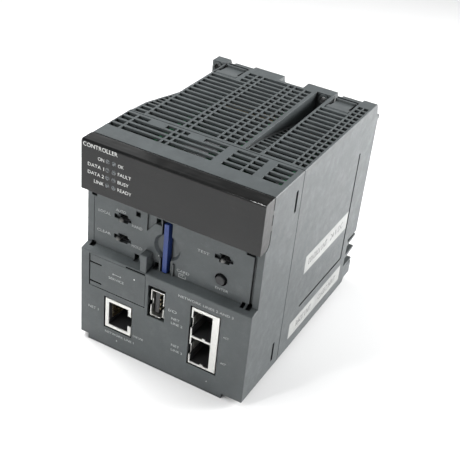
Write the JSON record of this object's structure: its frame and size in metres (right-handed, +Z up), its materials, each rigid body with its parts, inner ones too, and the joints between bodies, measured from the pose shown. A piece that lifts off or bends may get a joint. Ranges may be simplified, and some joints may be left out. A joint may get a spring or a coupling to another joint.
{
  "type": "controller module",
  "caption": "Rack-mounted industrial controller module: dark slotted casing, glossy lamp cover, toggle switches, card slot, service door and network sockets.",
  "frame": {"origin": "middle of the footprint, level with the face of the bottom cover", "axes": "+X to the right seen from the front, +Y to the rear, +Z up"},
  "size_m": [0.0834, 0.115, 0.1003],
  "materials": {
    "case_plastic": "fine spark-eroded texture, charcoal",
    "cover_gloss": "polished smoked black",
    "lamp_clear": "clear rod, unlit",
    "lamp_chip": "moulded chip",
    "board_green": "solder mask",
    "tin": "tin plated",
    "steel_pin": "bright",
    "cell_wrap": "shrink sleeve on a steel can",
    "wire": "insulated wire",
    "socket_white": "moulded",
    "socket_black": "moulded",
    "brass_post": "turned",
    "contact_gold": "gold plated",
    "card_blue": "moulded",
    "button_black": "moulded",
    "chip_black": "moulded package",
    "sink_alloy": "anodised",
    "can_alloy": "plain can",
    "choke": "coated ferrite ring",
    "label_white": "printed film",
    "lever_metal": "plated",
    "hook_plastic": "moulded, slightly smoother"
  },
  "bodies": {
    "casing": {"front_shell": "case_plastic", "rear_case": "case_plastic", "lamp_cover": "cover_gloss", "light_guides": "lamp_clear", "indicator_leds": "lamp_chip", "led_board": "board_green", "service_socket": "tin", "cover_hinge_pins": "steel_pin", "battery": "cell_wrap", "battery_lead": "wire", "battery_socket": "socket_white", "interface_board": "board_green", "card_board": "board_green", "main_board": "board_green", "board_links": "socket_black", "board_screws": "steel_pin", "standoffs": "brass_post", "rear_connector": "socket_black", "rear_connector_pins": "contact_gold", "usb_host_shell": "tin", "usb_host_tongue": "socket_black", "usb_host_contacts": "contact_gold", "card_socket": "socket_black", "button_switch": "socket_black", "processor": "chip_black", "heat_sink": "sink_alloy", "memory_chips": "chip_black", "transformers": "chip_black", "power_capacitors": "can_alloy", "inductors": "choke", "side_label_upper": "label_white", "side_label_lower": "label_white", "lan_single_shield": "tin", "lan_dual_shield": "tin", "lan_single_insert": "socket_black", "lan_dual_insert": "socket_black", "lan_single_contacts": "contact_gold", "lan_dual_contacts": "contact_gold", "switch_upper_body": "socket_black", "switch_lower_body": "socket_black", "switch_right_body": "socket_black", "hook_pin_left": "steel_pin", "hook_pin_right": "steel_pin", "operator_board_left": "board_green", "operator_board_right": "board_green"},
    "service_door": {"service_door": "case_plastic"},
    "bottom_cover": {"bottom_cover": "case_plastic"},
    "lever_upper": {"switch_upper_lever": "lever_metal"},
    "lever_lower": {"switch_lower_lever": "lever_metal"},
    "lever_right": {"switch_right_lever": "lever_metal"},
    "push_button": {"push_button": "button_black"},
    "memory_card": {"memory_card": "card_blue"},
    "hook_left": {"fixing_hook_left": "hook_plastic"},
    "hook_right": {"fixing_hook_right": "hook_plastic"}
  },
  "joints": [
    {"name": "service_door_hinge", "type": "hinge", "parent": "casing", "child": "service_door", "pos_m": [-0.0363, -0.0566, 0.03855], "axis": [0, 0, -1], "range_deg": [0, 90]},
    {"name": "bottom_cover_hinge", "type": "hinge", "parent": "casing", "child": "bottom_cover", "pos_m": [-0.0028, 0.0307, 0.00115], "axis": [1, 0, 0], "range_deg": [0, 90]},
    {"name": "lever_upper_tilt", "type": "hinge", "parent": "casing", "child": "lever_upper", "pos_m": [-0.0237, -0.0477, 0.06695], "axis": [0, 0, 1], "range_deg": [-15, 15]},
    {"name": "lever_lower_tilt", "type": "hinge", "parent": "casing", "child": "lever_lower", "pos_m": [-0.0236, -0.0477, 0.05695], "axis": [0, 0, 1], "range_deg": [0, 30]},
    {"name": "lever_right_tilt", "type": "hinge", "parent": "casing", "child": "lever_right", "pos_m": [0.0246, -0.0477, 0.06675], "axis": [0, 0, 1], "range_deg": [-15, 15]},
    {"name": "button_travel", "type": "slide", "parent": "casing", "child": "push_button", "axis": [0, 1, 0], "range_m": [0, 0.001], "stiffness_N_per_m": 300, "springref_m": -0.001},
    {"name": "card_travel", "type": "slide", "parent": "casing", "child": "memory_card", "axis": [0, -1, 0], "range_m": [0, 0.025]},
    {"name": "hook_left_press", "type": "hinge", "parent": "casing", "child": "hook_left", "pos_m": [-0.0283, 0.0359, 0.09775], "axis": [-1, 0, 0], "range_deg": [0, 6], "stiffness_Nm_per_rad": 0.12, "springref_deg": -5.73},
    {"name": "hook_right_press", "type": "hinge", "parent": "casing", "child": "hook_right", "pos_m": [0.0287, 0.0359, 0.09775], "axis": [-1, 0, 0], "range_deg": [0, 6], "stiffness_Nm_per_rad": 0.12, "springref_deg": -5.73}
  ]
}
